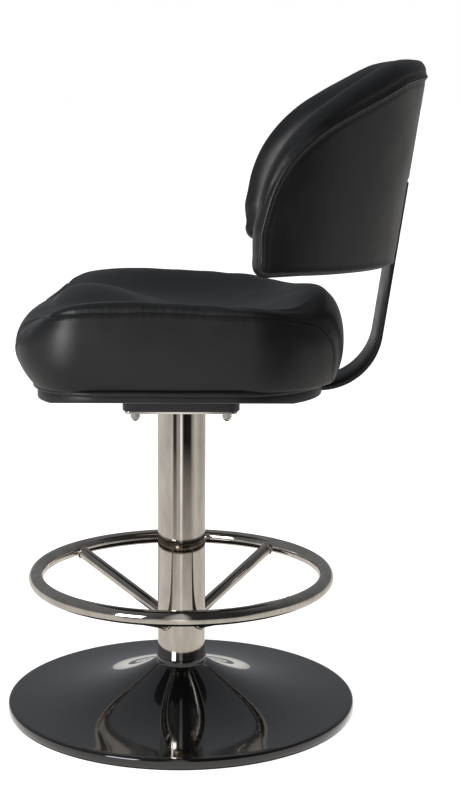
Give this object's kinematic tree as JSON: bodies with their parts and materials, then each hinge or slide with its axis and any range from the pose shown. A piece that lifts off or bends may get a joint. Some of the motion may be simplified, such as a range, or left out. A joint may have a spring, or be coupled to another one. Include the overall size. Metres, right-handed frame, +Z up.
{
  "type": "swivel counter stool",
  "caption": "Fixed-height swivel stool with padded seat, wrap-around padded back, polished column, ring footrest and weighted trumpet base.",
  "frame": {"origin": "centre of the foot ring's flat underside, on the column's axis at the floor", "axes": "+Z up along the column, -Y towards the front of the seat, +X to the sitter's left"},
  "size_m": [0.515, 0.6041, 0.956],
  "materials": {
    "black_enamel": "gloss stoved black enamel on spun steel",
    "cast_iron": "as cast, grey primer",
    "black_rubber": "moulded, matt",
    "polished_stainless": "mirror-polished stainless steel tube and plate",
    "zinc_steel": "bright zinc-plated steel",
    "black_oxide_steel": "black oxide on steel",
    "bush_bronze": "sintered bronze, oiled",
    "white_acetal": "turned acetal, satin",
    "black_powder_coat": "satin black powder coat with a fine texture",
    "grained_black_plastic": "moulded ABS with a fine leather grain",
    "plywood": "sawn birch plywood",
    "cushion_foam": "cut flexible polyurethane foam",
    "black_vinyl": "soft black vinyl with a fine grain, sewn with black thread"
  },
  "bodies": {
    "stand": {"base_cover": "black_enamel", "base_weight": "cast_iron", "base_foot_ring": "black_rubber", "column_tube": "polished_stainless", "column_foot_plug": "zinc_steel", "column_bolt": "zinc_steel", "column_washer": "zinc_steel", "footring_hoop": "polished_stainless", "footring_strut_1": "polished_stainless", "footring_strut_2": "polished_stainless", "footring_strut_3": "polished_stainless", "footring_strut_4": "polished_stainless", "upper_bush": "bush_bronze", "lower_bush": "bush_bronze", "thrust_washer": "white_acetal"},
    "seat": {"spindle": "zinc_steel", "spindle_circlip": "black_oxide_steel", "top_plate": "polished_stainless", "mount_tray": "black_powder_coat", "plate_bolts": "zinc_steel", "plate_washers": "zinc_steel", "plate_dome_nuts": "zinc_steel", "back_bracket": "black_powder_coat", "bracket_seat_bolts": "zinc_steel", "seat_tee_nuts": "zinc_steel", "seat_pan": "grained_black_plastic", "pan_screws": "black_oxide_steel", "seat_board": "plywood", "seat_foam": "cushion_foam", "seat_top_cover": "black_vinyl", "seat_side_cover_left": "black_vinyl", "seat_side_cover_right": "black_vinyl", "back_shell": "plywood", "back_foam": "cushion_foam", "back_front_cover": "black_vinyl", "back_rear_cover": "black_vinyl", "back_screws": "black_oxide_steel", "back_tee_nuts": "zinc_steel"}
  },
  "joints": [
    {"name": "seat_swivel", "type": "hinge", "parent": "stand", "child": "seat", "pos_m": [0, 0, 0.461], "axis": [0, 0, 1], "continuous": true}
  ]
}
